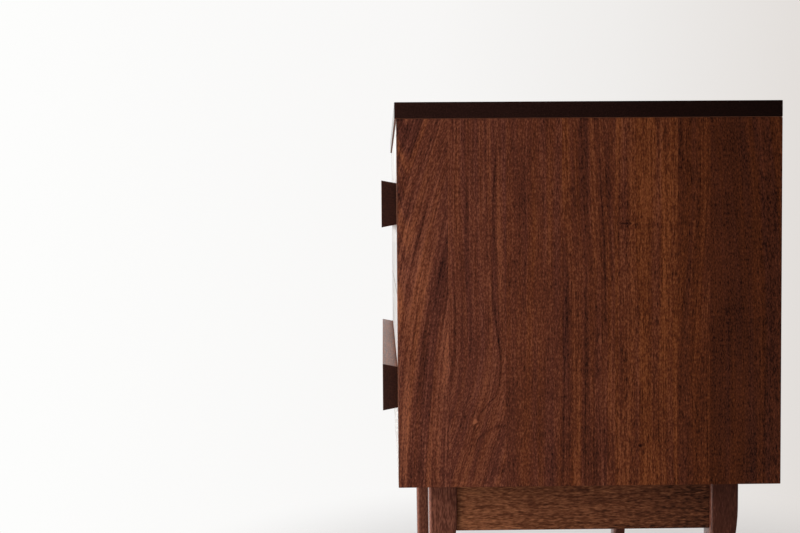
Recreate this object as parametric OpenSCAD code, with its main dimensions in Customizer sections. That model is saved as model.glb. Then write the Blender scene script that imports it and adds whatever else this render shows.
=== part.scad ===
// Nightstand: a walnut case with a dark top and two white drawers on a raised base.
// Sizes are in millimetres. X runs across the width, -Y is the front and +Z is up.
// The origin is on the floor, under the middle of the whole box with the pulls.

/* [Case] */
// Width of the case over its side panels
case_w = 610; // [480:5:760]
// Depth of the case from the side panels' front edges to their rear edges
case_d = 405; // [380:1:480]
// Height of the side panels
case_h = 387.5; // [360:0.5:460]
// Thickness of the side panels
side_t = 19; // [17:0.5:25]
// Radius that eases the side panels' front edges
edge_r = 1.5; // [0.5:0.1:3]
// Thickness of the top slab
slab_t = 17.5; // [15:0.5:30]
// How far the slab's front edge stands proud of the side panels
slab_proud = 2; // [0.5:0.5:4]
// Thickness of the bottom panel
bottom_t = 18; // [15:0.5:25]
// Depth of the seat that holds the bottom panel in each side
seat_depth = 7; // [4:0.5:9]
// Thickness of the back panel
back_t = 9; // [6:0.5:12]
// Depth of the rebate that holds the back panel in each side
rebate_depth = 9; // [7:0.5:11]
// How far the back panel lies inside the side panels' rear edges
back_inset = 1; // [0.5:0.5:4]

/* [Rails] */
// Thickness of the top rails and of the divider between the drawers
rail_t = 18; // [16:0.5:24]
// Width of the rails from front to back
rail_w = 60; // [50:1:90]
// Radius of the dowels that join the rails to the sides
dowel_r = 4; // [3:0.5:5]
// Length of a dowel
dowel_l = 30; // [24:1:40]
// How far a dowel goes into the side panel
dowel_in = 11; // [8:0.5:12]
// Distance from a rail's long edge to its dowels
dowel_edge = 14; // [12:0.5:18]

/* [Drawer fronts] */
// Thickness of a drawer front
front_t = 19; // [17:0.5:24]
// How far the drawer fronts lie inside the side panels' front edges
front_inset = 0; // [0:0.5:4]
// Gap around a drawer front
reveal = 2; // [1.5:0.1:3]
// Height of the upper drawer front
upper_front_h = 181; // [165:1:205]
// Gap between a closed front and the rails behind it
stop_gap = 2; // [1.5:0.1:4]
// Radius of a bumper
bumper_r = 4; // [3:0.5:6]
// Distance from the front's end to its bumper
bumper_edge = 40; // [30:1:80]
// Air between a bumper and the closed front
bumper_air = 0.3; // [0.2:0.1:0.6]

/* [Pulls] */
// Height of a pull's outer face
pull_h = 50; // [36:1:70]
// Depth of a pull from the drawer front to its outer face
pull_d = 16; // [15:0.5:26]
// How much a pull's long faces are undercut at the drawer front
pull_undercut = 3; // [1:0.5:5]
// How far the upper pull's middle lies above the middle of its front
upper_pull_rise = 4.5; // [0:0.5:10]
// How far the lower pull's middle lies above the middle of its front
lower_pull_rise = 2; // [0:0.5:10]
// Distance from a pull's end to its first screw
pull_screw_edge = 54; // [40:1:90]
// Number of screws in a pull
pull_screws = 5; // [3:1:7]

/* [Drawer boxes] */
// Thickness of the drawer box boards
box_t = 12; // [10:0.5:16]
// Air above and below a drawer box
box_gap = 12; // [8:0.5:20]
// Air behind a drawer box
rear_gap = 25; // [15:1:60]
// Thickness of the drawer bottom
box_bottom_t = 6; // [4:0.5:9]
// Depth of the groove that holds the drawer bottom
groove_depth = 6; // [4:0.5:7]
// Height of the groove above the box's lower edge
groove_up = 10; // [8:0.5:16]
// Number of dovetails on each corner of a drawer box
tails = 4; // [3:1:6]
// Width of a pin between two dovetails, at its narrow end
pin_w = 7; // [5:0.5:10]
// How much a dovetail narrows on each flank
tail_flare = 2; // [1:0.5:3]
// Distance from the box's side to the screws that hold its front
front_screw_edge = 60; // [40:1:100]
// Distance from the box's upper and lower edges to those screws
front_screw_rise = 28; // [24:1:34]

/* [Slides] */
// Distance that a drawer opens
travel = 330; // [260:5:335]
// Space between the case side and the drawer box that a slide fills
slide_w = 13; // [12.7:0.1:14]
// Height of a slide
slide_h = 45; // [42:0.5:52]
// Thickness of a slide's steel
sheet = 1.2; // [1:0.1:1.4]
// How much shorter the moving members are at each end
member_step = 2; // [1:0.5:5]
// Diameter of the bearing balls
ball_d = 2.7; // [2.4:0.1:3]
// Running gap between a ball and its race
ball_gap = 0.25; // [0.2:0.05:0.3]
// Thickness of a ball cage's strip
cage_t = 0.6; // [0.5:0.05:0.7]
// Distance between neighbouring balls
ball_pitch = 22; // [12:1:40]
// Depth of the outer member's flanges
outer_flange = 10; // [9:0.5:11]
// Distance from a member's end to its first screw
slide_screw_edge = 35; // [20:1:60]

/* [Base] */
// Height from the floor to the underside of the case
leg_h = 230; // [160:1:280]
// Distance from the case's sides and rear to the legs
base_inset = 34; // [28:1:60]
// Distance from the case's front to the front legs
fore_inset = 33; // [28:1:60]
// Width of a leg, seen from the front
leg_t = 30; // [28:0.5:36]
// Depth of a leg from front to back at its top
leg_w = 30.6; // [28:0.2:36]
// Depth of a leg below its shoulder
ankle_w = 17.8; // [15:0.1:22]
// Depth of a leg's foot
foot_w = 17; // [15:0.5:22]
// Length of a leg's straight top
leg_straight = 34; // [10:1:40]
// Distance from a leg's top to the end of its shoulder
leg_knee = 150; // [90:1:160]
// How far the front legs' front faces lean back at the foot
foot_lean = 2; // [0:0.5:8]
// How far the rear legs' front faces curve forward at the foot
foot_sweep = 4; // [0:0.5:8]
// Radius of a leg's corners at the top
corner_top = 3; // [1:0.1:3.5]
// Radius of a leg's corners at the foot
corner_foot = 5; // [3:0.1:6]
// Height of the aprons
apron_h = 57; // [44:1:80]
// Thickness of the aprons
apron_t = 18; // [15:0.5:19]
// How far a side apron lies inside the legs' outer faces
side_apron_set = 5; // [3:0.5:6]
// How far the front and rear aprons lie inside the legs' outer faces
end_apron_set = 8; // [5:0.5:9]
// Thickness of the tenons
tenon_t = 8; // [6:0.5:9]
// Distance from an apron's edges to its tenon
tenon_edge = 8; // [5:0.5:12]
// Wood left between the two tenons in a leg
tenon_wall = 1.5; // [1:0.1:3]
// Distance from a leg to its corner block
block_step = 8; // [6:0.5:12]
// Length of a corner block along each apron
block_l = 46; // [36:1:60]
// Height of a corner block
block_h = 26; // [20:1:36]
// Thickness of a glide under a leg
glide_t = 3; // [2:0.5:5]
// Radius of a glide
glide_r = 7; // [5:0.5:7.4]
// Radius of a glide's pin
glide_pin_r = 1.3; // [1:0.1:2]
// Length of a glide's pin
glide_pin_l = 14; // [8:1:20]

/* [Screws] */
// Radius of a wood screw's shank
screw_r = 2; // [1.5:0.1:2.4]
// Radius of a wood screw's head
screw_head_r = 3.8; // [3:0.1:4]
// Height of a wood screw's countersunk head
screw_head_h = 2.4; // [1.8:0.1:3]
// How far a wood screw goes into the piece that it holds
screw_bite = 11; // [8:0.5:12]
// Radius of a slide screw's shank
small_r = 1.6; // [1.2:0.1:2]
// Radius of a slide screw's head
small_head_r = 3; // [2.4:0.1:3.4]
// How far a slide screw goes into the wood
small_bite = 9; // [6:0.5:9]
// Distance from the back panel's corners to its screws
back_screw_edge = 40; // [30:1:70]
// Distance from the rails' ends to the slab's screws
slab_screw_edge = 70; // [50:1:120]
// Number of screws in a row along a slide member, a rail or an edge of the back panel
row_screws = 3; // [2:1:4]
// Number of screws in a corner block
block_screws = 2; // [1:1:3]

/* [Fits] */
// Play between pieces that are glued or seated
fit_gap = 0.1; // [0.05:0.05:0.2]
// Play between a screw or dowel and its hole
hole_gap = 0.05; // [0.02:0.01:0.1]

/* [Hidden] */
$fn = 48;

// How far a cutting solid runs past the face that it cuts
past = 1;

// Planes across the depth
pull_out = pull_d - front_inset;
front_y = (pull_out - case_d) / 2;
rear_y = front_y + case_d;
door_y = front_y + front_inset;
box_y = door_y + front_t;
rail_y = box_y + stop_gap;
back_y = rear_y - back_inset - back_t;

// Planes across the width and the height
in_x = case_w / 2 - side_t;
case_z = leg_h;
top_z = case_z + case_h;
divide_z = top_z - reveal - upper_front_h - reveal / 2;

// Drawer fronts
front_w = 2 * (in_x - reveal);
lower_front_z = case_z + reveal / 2;
lower_front_h = divide_z - reveal / 2 - lower_front_z;
upper_front_z = divide_z + reveal / 2;

// Drawer boxes
box_w = 2 * (in_x - slide_w);
box_d = back_y - rear_gap - box_y;
lower_box_z = case_z + bottom_t + box_gap;
lower_box_h = divide_z - rail_t / 2 - box_gap - lower_box_z;
upper_box_z = divide_z + rail_t / 2 + box_gap;
upper_box_h = top_z - rail_t - box_gap - upper_box_z;

// Slides, each a nest of three channels with balls between their flanges.
// The air beside a cage's strip is a leaf, as thick as the strip, and a race is as high as
// a ball with its play.
race = ball_d + 2 * ball_gap;
outer_half = slide_h / 2;
mid_half = outer_half - sheet - race;
inner_half = mid_half - sheet - race;
leaf = cage_t;
cage_reach = cage_t + 2 * ball_d;
mid_s = sheet + leaf + cage_t + leaf;
inner_s = mid_s + sheet + leaf + cage_t + leaf;
mid_tip_s = slide_w - sheet - leaf;
slide_y = rail_y;
slide_l = box_y + box_d - slide_y;
mid_l = slide_l - 2 * member_step;
cage_l = mid_l - travel / 2 - 2 * member_step;
upper_slide_z = upper_box_z + upper_box_h / 2;
lower_slide_z = lower_box_z + lower_box_h / 2;

// Base
side_in = side_apron_set + apron_t;
end_in = end_apron_set + apron_t;
tenon_l = leg_t - side_apron_set - (apron_t + tenon_t) / 2 - tenon_wall;
leg_l = leg_h - glide_t;
leg_x = case_w / 2 - base_inset;
leg_y0 = front_y + fore_inset;
leg_y1 = rear_y - base_inset;

// How far an apron runs into a leg before the leg's own shape cuts its shoulder
shoulder = 5;

// Depth between two levels of a leg's shoulder, and the steps in each rounded corner
ring_step = 10;
arc_steps = 4;

// A screw's socket as a share of its shank's radius and its head's height
socket_share = 0.6;

// Colours
walnut = "#5a3420";
walnut_edge = "#6b3e28";
ebony = "#2d1e1c";
lacquer = "#f2eeea";
maple = "#dcc39c";
steel = "#b9bcc0";
zinc = "#8f9296";
nylon = "#3a3a3a";

// General helpers

module block(lo, hi) {
    translate(lo) cube(hi - lo);
}

module both_sides() {
    children();
    mirror([1, 0, 0]) children();
}

function spread(lo, hi, count) =
    [for (i = [0 : count - 1]) lo + (hi - lo) * i / (count - 1)];

// A countersunk screw that is driven along +Z from its head's flat face
module screw_shape(l, r, head_r, head_h, gap) {
    rotate_extrude()
        polygon([
            [0, -gap], [head_r + gap, -gap], [head_r + gap, 0],
            [r + gap, head_h + gap], [r + gap, l - r], [gap, l + gap], [0, l + gap]
        ]);
}

// A hexagon socket in a screw's head
module socket(r, head_h) {
    translate([0, 0, -past])
        cylinder(r = r * socket_share, h = past + head_h * socket_share, $fn = 6);
}

module wood_screw(l) {
    difference() {
        screw_shape(l, screw_r, screw_head_r, screw_head_h, 0);
        socket(screw_r, screw_head_h);
    }
}

module wood_screw_hole(l) {
    screw_shape(l, screw_r, screw_head_r, screw_head_h, hole_gap);
}

module small_screw() {
    difference() {
        screw_shape(sheet + small_bite, small_r, small_head_r, sheet, 0);
        socket(small_r, sheet);
    }
}

module small_screw_hole() {
    screw_shape(sheet + small_bite, small_r, small_head_r, sheet, hole_gap);
}

// Directions in which a screw is driven

module to_front() {
    rotate([90, 0, 0]) children();
}

module to_right() {
    rotate([0, 90, 0]) children();
}

module to_left() {
    rotate([0, -90, 0]) children();
}

// Places of the case's fasteners

slab_screw_l = rail_t + screw_bite;
slab_screw_places = [
    for (y = [rail_y + rail_w / 2, back_y - rail_w / 2])
    for (x = spread(slab_screw_edge - in_x, in_x - slab_screw_edge, row_screws))
    [x, y, top_z - rail_t]
];

back_screw_l = back_t + screw_bite;
back_screw_places = concat(
    [
        for (side = [-1, 1])
        for (z = spread(case_z + back_screw_edge, top_z - back_screw_edge, row_screws))
        [side * (in_x + rebate_depth / 2), back_y + back_t, z]
    ],
    [
        for (x = spread(back_screw_edge - in_x, in_x - back_screw_edge, row_screws))
        for (z = [case_z + bottom_t / 2, top_z - rail_t / 2])
        [x, back_y + back_t, z]
    ]
);

dowel_places = concat(
    [for (y = [rail_y + dowel_edge, rail_y + rail_w - dowel_edge]) [y, top_z - rail_t / 2]],
    [for (y = [rail_y + dowel_edge, rail_y + rail_w - dowel_edge]) [y, divide_z]],
    [for (y = [back_y - rail_w + dowel_edge, back_y - dowel_edge]) [y, top_z - rail_t / 2]]
);

slide_screw_ys =
    spread(slide_y + slide_screw_edge, slide_y + slide_l - slide_screw_edge, row_screws);
slide_zs = [upper_slide_z, lower_slide_z];

module dowels(gap) {
    both_sides()
        for (p = dowel_places)
            translate([in_x + dowel_in + gap, p[0], p[1]])
                to_left() cylinder(r = dowel_r + gap, h = dowel_l + 2 * gap);
}

module slab_screw_holes() {
    for (p = slab_screw_places) translate(p) wood_screw_hole(slab_screw_l);
}

module back_screw_holes() {
    for (p = back_screw_places) translate(p) to_front() wood_screw_hole(back_screw_l);
}

module case_slide_screw_set(hole) {
    both_sides()
        for (z = slide_zs)
            for (y = slide_screw_ys)
                translate([in_x - sheet, y, z])
                    to_right()
                        if (hole) small_screw_hole();
                        else small_screw();
}

// Case

module top_slab() {
    color(ebony)
        difference() {
            block([-case_w / 2, front_y - slab_proud, top_z], [case_w / 2, rear_y, top_z + slab_t]);
            slab_screw_holes();
        }
}

module side_outline() {
    out_x = case_w / 2;
    union() {
        translate([in_x, front_y + edge_r]) square([side_t, case_d - edge_r]);
        translate([in_x + edge_r, front_y]) square([side_t - 2 * edge_r, 2 * edge_r]);
        for (x = [in_x + edge_r, out_x - edge_r])
            translate([x, front_y + edge_r]) circle(r = edge_r);
    }
}

module side_panel_right() {
    color(walnut)
        difference() {
            translate([0, 0, case_z]) linear_extrude(case_h) side_outline();
            block([in_x - past, rail_y - fit_gap, case_z - past],
                [in_x + seat_depth + fit_gap, back_y + past, case_z + bottom_t + fit_gap]);
            block([in_x - past, back_y, case_z - past],
                [in_x + rebate_depth + fit_gap, rear_y + past, top_z + past]);
            dowels(hole_gap);
            case_slide_screw_set(true);
            back_screw_holes();
        }
}

module side_panel_left() {
    mirror([1, 0, 0]) side_panel_right();
}

module bottom_panel() {
    half = in_x + seat_depth;
    color(walnut)
        difference() {
            block([-half, rail_y, case_z], [half, back_y, case_z + bottom_t]);
            base_screw_set(true);
            back_screw_holes();
        }
}

module back_panel() {
    half = in_x + rebate_depth;
    color(walnut)
        difference() {
            block([-half, back_y, case_z], [half, back_y + back_t, top_z]);
            back_screw_holes();
        }
}

module rail(y, z) {
    color(walnut_edge)
        difference() {
            block([-in_x, y, z], [in_x, y + rail_w, z + rail_t]);
            dowels(hole_gap);
            slab_screw_holes();
            back_screw_holes();
        }
}

module top_rail_front() {
    rail(rail_y, top_z - rail_t);
}

module top_rail_rear() {
    rail(back_y - rail_w, top_z - rail_t);
}

module divider_rail() {
    rail(rail_y, divide_z - rail_t / 2);
}

module case_dowels() {
    color(maple) dowels(0);
}

module drawer_bumpers() {
    thick = stop_gap - bumper_air;
    x = front_w / 2 - bumper_edge;
    color(nylon)
        both_sides()
            for (z = [case_z + bottom_t / 2, top_z - rail_t / 2])
                translate([x, rail_y, z]) to_front() cylinder(r = bumper_r, h = thick);
}

module slab_screws() {
    color(zinc) for (p = slab_screw_places) translate(p) wood_screw(slab_screw_l);
}

module back_screws() {
    color(zinc)
        for (p = back_screw_places) translate(p) to_front() wood_screw(back_screw_l);
}

// Slides

// A channel along Y: s counts from the case side towards the drawer box
module channel(y, l, z, half, s0, s1, web_s) {
    block([in_x - s1, y, z + half - sheet], [in_x - s0, y + l, z + half]);
    block([in_x - s1, y, z - half], [in_x - s0, y + l, z - half + sheet]);
    block([in_x - web_s - sheet, y, z - half], [in_x - web_s, y + l, z + half]);
}

module case_slide_pair(z) {
    color(steel)
        both_sides()
            difference() {
                channel(slide_y, slide_l, z, outer_half, 0, outer_flange, 0);
                case_slide_screw_set(true);
            }
}

module upper_case_slides() {
    case_slide_pair(upper_slide_z);
}

module lower_case_slides() {
    case_slide_pair(lower_slide_z);
}

module case_slide_screws() {
    color(zinc) case_slide_screw_set(false);
}

module mid_slide_pair(z) {
    color(steel)
        both_sides() channel(slide_y + member_step, mid_l, z, mid_half, mid_s, mid_tip_s, mid_s);
}

module upper_mid_slides() {
    mid_slide_pair(upper_slide_z);
}

module lower_mid_slides() {
    mid_slide_pair(lower_slide_z);
}

// A cage's strips lie in the middle of the race above a flange of half height under
module cage(y, z, under, web_s) {
    mid_race = under + race / 2;
    tip_s = web_s + cage_reach;
    row_s = tip_s - ball_d / 2 - cage_t;
    count = floor((cage_l - ball_pitch) / ball_pitch);
    first = y + (cage_l - count * ball_pitch) / 2;
    block([in_x - web_s - cage_t, y, z - mid_race - cage_t / 2],
        [in_x - web_s, y + cage_l, z + mid_race + cage_t / 2]);
    for (side = [-1, 1]) {
        block([in_x - tip_s, y, z + side * mid_race - cage_t / 2],
            [in_x - web_s, y + cage_l, z + side * mid_race + cage_t / 2]);
        for (i = [0 : count])
            translate([in_x - row_s, first + i * ball_pitch, z + side * mid_race])
                sphere(d = ball_d);
    }
}

module cage_pair(z) {
    color(zinc)
        both_sides() {
            cage(slide_y + slide_l - 2 * member_step - cage_l, z, mid_half, sheet + leaf);
            cage(slide_y + 2 * member_step, z, inner_half, mid_s + sheet + leaf);
        }
}

module upper_ball_cages() {
    cage_pair(upper_slide_z);
}

module lower_ball_cages() {
    cage_pair(lower_slide_z);
}

module member_screw_set(z, hole) {
    both_sides()
        for (y = slide_screw_ys)
            translate([in_x - slide_w + sheet, y, z])
                to_left()
                    if (hole) small_screw_hole();
                    else small_screw();
}

module drawer_slide_pair(z) {
    color(steel)
        both_sides()
            difference() {
                channel(slide_y, slide_l, z, inner_half, inner_s, slide_w, slide_w - sheet);
                member_screw_set(z, true);
            }
}

// Drawers, each described by its front's lower edge and height and its box's

front_screw_l = box_t + screw_bite;
pull_screw_l = front_t + screw_bite;

upper_pull_z = upper_front_z + upper_front_h / 2 + upper_pull_rise;
lower_pull_z = lower_front_z + lower_front_h / 2 + lower_pull_rise;

module front_screw_set(box_z, box_h, hole) {
    both_sides()
        for (z = [box_z + front_screw_rise, box_z + box_h - front_screw_rise])
            translate([box_w / 2 - front_screw_edge, box_y + box_t, z])
                to_front()
                    if (hole) wood_screw_hole(front_screw_l);
                    else wood_screw(front_screw_l);
}

module pull_screw_set(z, hole) {
    for (x = spread(pull_screw_edge - front_w / 2, front_w / 2 - pull_screw_edge, pull_screws))
        translate([x, box_y, z])
            to_front()
                if (hole) wood_screw_hole(pull_screw_l);
                else wood_screw(pull_screw_l);
}

module drawer_front(front_z, front_h, box_z, box_h, pull_z) {
    color(lacquer)
        difference() {
            block([-front_w / 2, door_y, front_z], [front_w / 2, box_y, front_z + front_h]);
            front_screw_set(box_z, box_h, true);
            pull_screw_set(pull_z, true);
        }
}

module pull(z) {
    root = pull_h / 2 - pull_undercut;
    color(ebony)
        difference() {
            translate([-front_w / 2, door_y, z])
                rotate([90, 0, 90])
                    linear_extrude(front_w)
                        polygon([
                            [0, -root], [0, root],
                            [-pull_d, pull_h / 2], [-pull_d, -pull_h / 2]
                        ]);
            pull_screw_set(z, true);
        }
}

// Dovetails at both ends of a box side, in its own plane: first Y, then Z
module tails_outline(h, gap) {
    pitch = h / tails;
    for (i = [0 : tails - 1]) {
        mid = (i + 0.5) * pitch;
        wide = (pitch - pin_w) / 2 + gap;
        narrow = wide - tail_flare;
        root = box_t + past;
        polygon([
            [-gap, mid - wide], [box_t, mid - narrow], [root, mid - narrow],
            [root, mid + narrow], [box_t, mid + narrow], [-gap, mid + wide]
        ]);
        polygon([
            [box_d + gap, mid + wide], [box_d - box_t, mid + narrow], [box_d - root, mid + narrow],
            [box_d - root, mid - narrow], [box_d - box_t, mid - narrow], [box_d + gap, mid - wide]
        ]);
    }
}

// Stands a flat outline up against the inside of the right-hand box side
module on_box_side(z) {
    translate([box_w / 2 - box_t, box_y, z])
        rotate([90, 0, 90]) children();
}

module box_bottom_block(z, gap) {
    half = box_w / 2 - box_t + groove_depth - 2 * fit_gap + gap;
    front = box_y + box_t - groove_depth + 2 * fit_gap - gap;
    rear = box_y + box_d - box_t + groove_depth - 2 * fit_gap + gap;
    block([-half, front, z + groove_up - gap],
        [half, rear, z + groove_up + box_bottom_t + gap]);
}

module box_side(z, h) {
    color(maple)
        difference() {
            on_box_side(z)
                linear_extrude(box_t)
                    union() {
                        translate([box_t, 0]) square([box_d - 2 * box_t, h]);
                        tails_outline(h, 0);
                    }
            box_bottom_block(z, fit_gap);
            member_screw_set(z + h / 2, true);
        }
}

module box_end(y, z, h) {
    color(maple)
        difference() {
            block([-box_w / 2, y, z], [box_w / 2, y + box_t, z + h]);
            both_sides()
                on_box_side(z)
                    linear_extrude(box_t + past) tails_outline(h, hole_gap);
            box_bottom_block(z, fit_gap);
            front_screw_set(z, h, true);
        }
}

module box_bottom(z) {
    color(maple) box_bottom_block(z, 0);
}

// Upper drawer

module upper_front() {
    drawer_front(upper_front_z, upper_front_h, upper_box_z, upper_box_h, upper_pull_z);
}

module upper_pull() {
    pull(upper_pull_z);
}

module upper_box_right() {
    box_side(upper_box_z, upper_box_h);
}

module upper_box_left() {
    mirror([1, 0, 0]) box_side(upper_box_z, upper_box_h);
}

module upper_box_front() {
    box_end(box_y, upper_box_z, upper_box_h);
}

module upper_box_back() {
    box_end(box_y + box_d - box_t, upper_box_z, upper_box_h);
}

module upper_box_bottom() {
    box_bottom(upper_box_z);
}

module upper_drawer_slides() {
    drawer_slide_pair(upper_slide_z);
}

module upper_slide_screws() {
    color(zinc) member_screw_set(upper_slide_z, false);
}

module upper_front_screws() {
    color(zinc) front_screw_set(upper_box_z, upper_box_h, false);
}

module upper_pull_screws() {
    color(zinc) pull_screw_set(upper_pull_z, false);
}

// Lower drawer

module lower_front() {
    drawer_front(lower_front_z, lower_front_h, lower_box_z, lower_box_h, lower_pull_z);
}

module lower_pull() {
    pull(lower_pull_z);
}

module lower_box_right() {
    box_side(lower_box_z, lower_box_h);
}

module lower_box_left() {
    mirror([1, 0, 0]) box_side(lower_box_z, lower_box_h);
}

module lower_box_front() {
    box_end(box_y, lower_box_z, lower_box_h);
}

module lower_box_back() {
    box_end(box_y + box_d - box_t, lower_box_z, lower_box_h);
}

module lower_box_bottom() {
    box_bottom(lower_box_z);
}

module lower_drawer_slides() {
    drawer_slide_pair(lower_slide_z);
}

module lower_slide_screws() {
    color(zinc) member_screw_set(lower_slide_z, false);
}

module lower_front_screws() {
    color(zinc) front_screw_set(lower_box_z, lower_box_h, false);
}

module lower_pull_screws() {
    color(zinc) pull_screw_set(lower_pull_z, false);
}

// Base

// Brings a shape from the outer corner at a leg's top to one corner of the base
module at_corner(side_x, side_y) {
    translate([side_x * leg_x, side_y < 0 ? leg_y0 : leg_y1, leg_h])
        mirror([side_x > 0 ? 1 : 0, 0, 0])
            mirror([0, side_y > 0 ? 1 : 0, 0])
                children();
}

// Brings a leg from its outer front edge, at its top, to its place. All four legs taper
// towards their front faces, so the rear ones aren't turned round.
module at_leg(side_x, side_y) {
    translate([side_x * leg_x, side_y < 0 ? leg_y0 : leg_y1 - leg_w, leg_h])
        mirror([side_x > 0 ? 1 : 0, 0, 0]) children();
}

module each_leg() {
    for (side_x = [-1, 1])
        for (side_y = [-1, 1])
            at_leg(side_x, side_y) foot_at(side_y) children();
}

// Moves a shape from a leg's outer front edge to the middle of its foot
module foot_at(side_y) {
    translate([leg_t / 2, front_lean(leg_l, side_y) + foot_w / 2, 0])
        children();
}

function ease(u) = let (c = max(0, min(1, u))) c * c * (3 - 2 * c);

// A leg's depth and corner radius at distance t below its top
function leg_depth(t) =
    t <= leg_knee
        ? leg_w - (leg_w - ankle_w) * ease((t - leg_straight) / (leg_knee - leg_straight))
        : ankle_w + (foot_w - ankle_w) * (t - leg_knee) / (leg_l - leg_knee);

function leg_corner(t) = corner_top + (corner_foot - corner_top) * ease(t / leg_knee);

// How far a leg's front face lies behind its place at the leg's top
function front_lean(t, side_y) =
    let (share = t / leg_l)
    side_y < 0 ? foot_lean * share : -foot_sweep * share * share;

// One level of a leg: a rounded rectangle whose outer front corner is near the origin
function leg_ring(t, side_y, grow) =
    let (
        r = leg_corner(t),
        x0 = r - grow,
        x1 = leg_t + grow - r,
        y0 = front_lean(t, side_y) + r - grow,
        y1 = front_lean(t, side_y) + leg_depth(t) + grow - r,
        centres = [[x1, y1], [x0, y1], [x0, y0], [x1, y0]]
    )
    [
        for (k = [0 : 3])
        for (i = [0 : arc_steps])
        let (a = 90 * k + 90 * i / arc_steps)
        [centres[k][0] + r * cos(a), centres[k][1] + r * sin(a), -t]
    ];

module leg_loft(side_y, grow) {
    levels = concat(
        [0, leg_straight],
        [for (t = [leg_straight + ring_step : ring_step : leg_knee - ring_step / 2]) t],
        [leg_knee, leg_l]
    );
    n = 4 * (arc_steps + 1);
    m = len(levels);
    points = [for (t = levels) each leg_ring(t, side_y, grow)];
    walls = [
        for (j = [0 : m - 2])
        for (i = [0 : n - 1])
        let (a = j * n + i, b = j * n + (i + 1) % n)
        each [[a, b, b + n], [a, b + n, a + n]]
    ];
    top = [for (i = [n - 1 : -1 : 0]) i];
    foot = [for (i = [0 : n - 1]) (m - 1) * n + i];
    polyhedron(points = points, faces = concat([top, foot], walls));
}

// The tenons that enter one leg, seen from the leg's own corner
module leg_tenons(gap) {
    side_tip = leg_w - tenon_l - gap;
    end_tip = leg_t - tenon_l - gap;
    side_lo = side_apron_set + (apron_t - tenon_t) / 2 - gap;
    end_lo = end_apron_set + (apron_t - tenon_t) / 2 - gap;
    low_z = tenon_edge - apron_h - gap;
    high_z = gap - tenon_edge;
    block([side_lo, side_tip, low_z],
        [side_lo + tenon_t + 2 * gap, leg_w + shoulder, high_z]);
    block([end_tip, end_lo, low_z],
        [leg_t + shoulder, end_lo + tenon_t + 2 * gap, high_z]);
}

module leg(side_x, side_y) {
    color(walnut)
        difference() {
            at_leg(side_x, side_y) leg_loft(side_y, 0);
            at_corner(side_x, side_y) leg_tenons(fit_gap);
            at_leg(side_x, side_y)
                foot_at(side_y)
                    translate([0, 0, -leg_l - past])
                        cylinder(r = glide_pin_r + hole_gap, h = glide_pin_l + past + hole_gap);
        }
}

module leg_front_left() {
    leg(-1, -1);
}

module leg_front_right() {
    leg(1, -1);
}

module leg_rear_left() {
    leg(-1, 1);
}

module leg_rear_right() {
    leg(1, 1);
}

// A side apron between two legs, with a tenon at each end
module side_apron(side_x) {
    lo_x = side_x > 0 ? leg_x - side_in : -leg_x + side_apron_set;
    run = leg_w - shoulder;
    tenon_x = lo_x + (apron_t - tenon_t) / 2;
    tenon_lo = leg_y0 + leg_w - tenon_l;
    tenon_hi = leg_y1 - leg_w + tenon_l;
    color(walnut)
        union() {
            difference() {
                block([lo_x, leg_y0 + run, leg_h - apron_h], [lo_x + apron_t, leg_y1 - run, leg_h]);
                for (side_y = [-1, 1]) at_leg(side_x, side_y) leg_loft(side_y, fit_gap);
            }
            block([tenon_x, tenon_lo, leg_h - apron_h + tenon_edge],
                [tenon_x + tenon_t, tenon_hi, leg_h - tenon_edge]);
        }
}

// A front or rear apron between two legs, with a tenon at each end
module end_apron(side_y) {
    lo_y = side_y > 0 ? leg_y1 - end_in : leg_y0 + end_apron_set;
    run = leg_t - shoulder;
    tenon_y = lo_y + (apron_t - tenon_t) / 2;
    tenon_hi = leg_x - leg_t + tenon_l;
    color(walnut)
        union() {
            difference() {
                block([run - leg_x, lo_y, leg_h - apron_h], [leg_x - run, lo_y + apron_t, leg_h]);
                for (side_x = [-1, 1]) at_leg(side_x, side_y) leg_loft(side_y, fit_gap);
            }
            block([-tenon_hi, tenon_y, leg_h - apron_h + tenon_edge],
                [tenon_hi, tenon_y + tenon_t, leg_h - tenon_edge]);
        }
}

module apron_front() {
    end_apron(-1);
}

module apron_rear() {
    end_apron(1);
}

module apron_left() {
    side_apron(-1);
}

module apron_right() {
    side_apron(1);
}

// Screws through a corner block, spaced evenly along its middle line
block_near = max(leg_t, leg_w) + block_step;
block_mid = block_near + block_l / 2;
base_screw_l = block_h + screw_bite;
block_screw_spots = [
    for (i = [1 : block_screws])
    let (f = i / (block_screws + 1))
    [side_in + (block_mid - side_in) * f, block_mid - (block_mid - end_in) * f]
];

module each_corner() {
    for (side_x = [-1, 1])
        for (side_y = [-1, 1])
            at_corner(side_x, side_y) children();
}

module base_screw_set(hole) {
    each_corner()
        for (p = block_screw_spots)
            translate([p[0], p[1], -block_h])
                if (hole) wood_screw_hole(base_screw_l);
                else wood_screw(base_screw_l);
}

module corner_blocks() {
    color(maple)
        difference() {
            each_corner()
                translate([0, 0, -block_h])
                    linear_extrude(block_h)
                        polygon([
                            [side_in, block_near], [block_near, end_in],
                            [block_near + block_l, end_in], [side_in, block_near + block_l]
                        ]);
            base_screw_set(true);
        }
}

module base_screws() {
    color(zinc) base_screw_set(false);
}

module leg_glides() {
    color(nylon)
        each_leg()
            translate([0, 0, -leg_h]) {
                cylinder(r = glide_r, h = glide_t);
                cylinder(r = glide_pin_r, h = glide_t + glide_pin_l);
            }
}

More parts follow.
